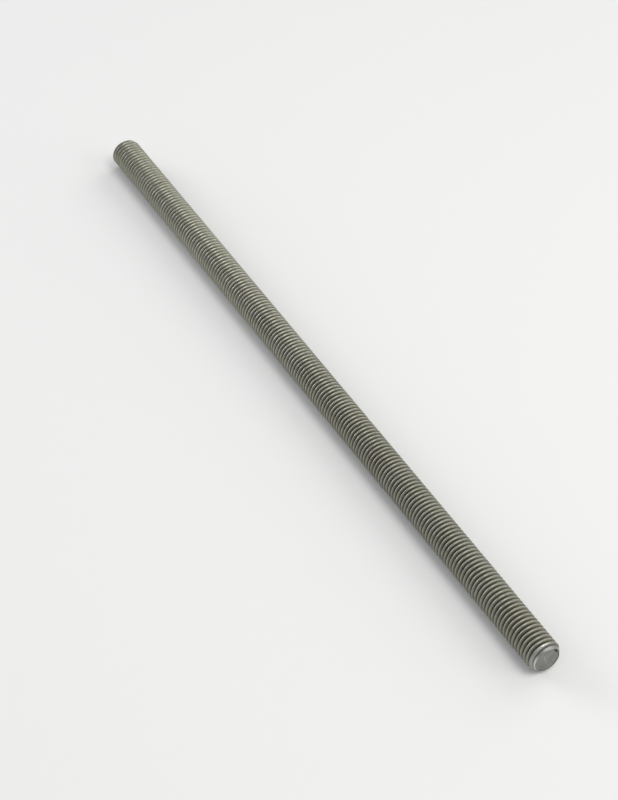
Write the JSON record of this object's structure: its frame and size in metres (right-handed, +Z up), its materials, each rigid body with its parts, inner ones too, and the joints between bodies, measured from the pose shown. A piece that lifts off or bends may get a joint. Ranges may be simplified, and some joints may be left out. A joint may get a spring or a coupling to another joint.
{
  "type": "threaded rod",
  "caption": "Straight metric threaded rod with a right-hand coarse thread over its whole length and a chamfered flat face at each end.",
  "frame": {"origin": "middle of the rod's length, on the surface it lies on, straight under its axis", "axes": "+X along the rod, towards the end that is nearer in the picture; +Y across it; +Z up, away from the surface"},
  "size_m": [0.3138, 0.012, 0.012],
  "materials": {
    "zinc_steel": "satin"
  },
  "bodies": {
    "root": {"threaded_rod": "zinc_steel"}
  },
  "joints": []
}
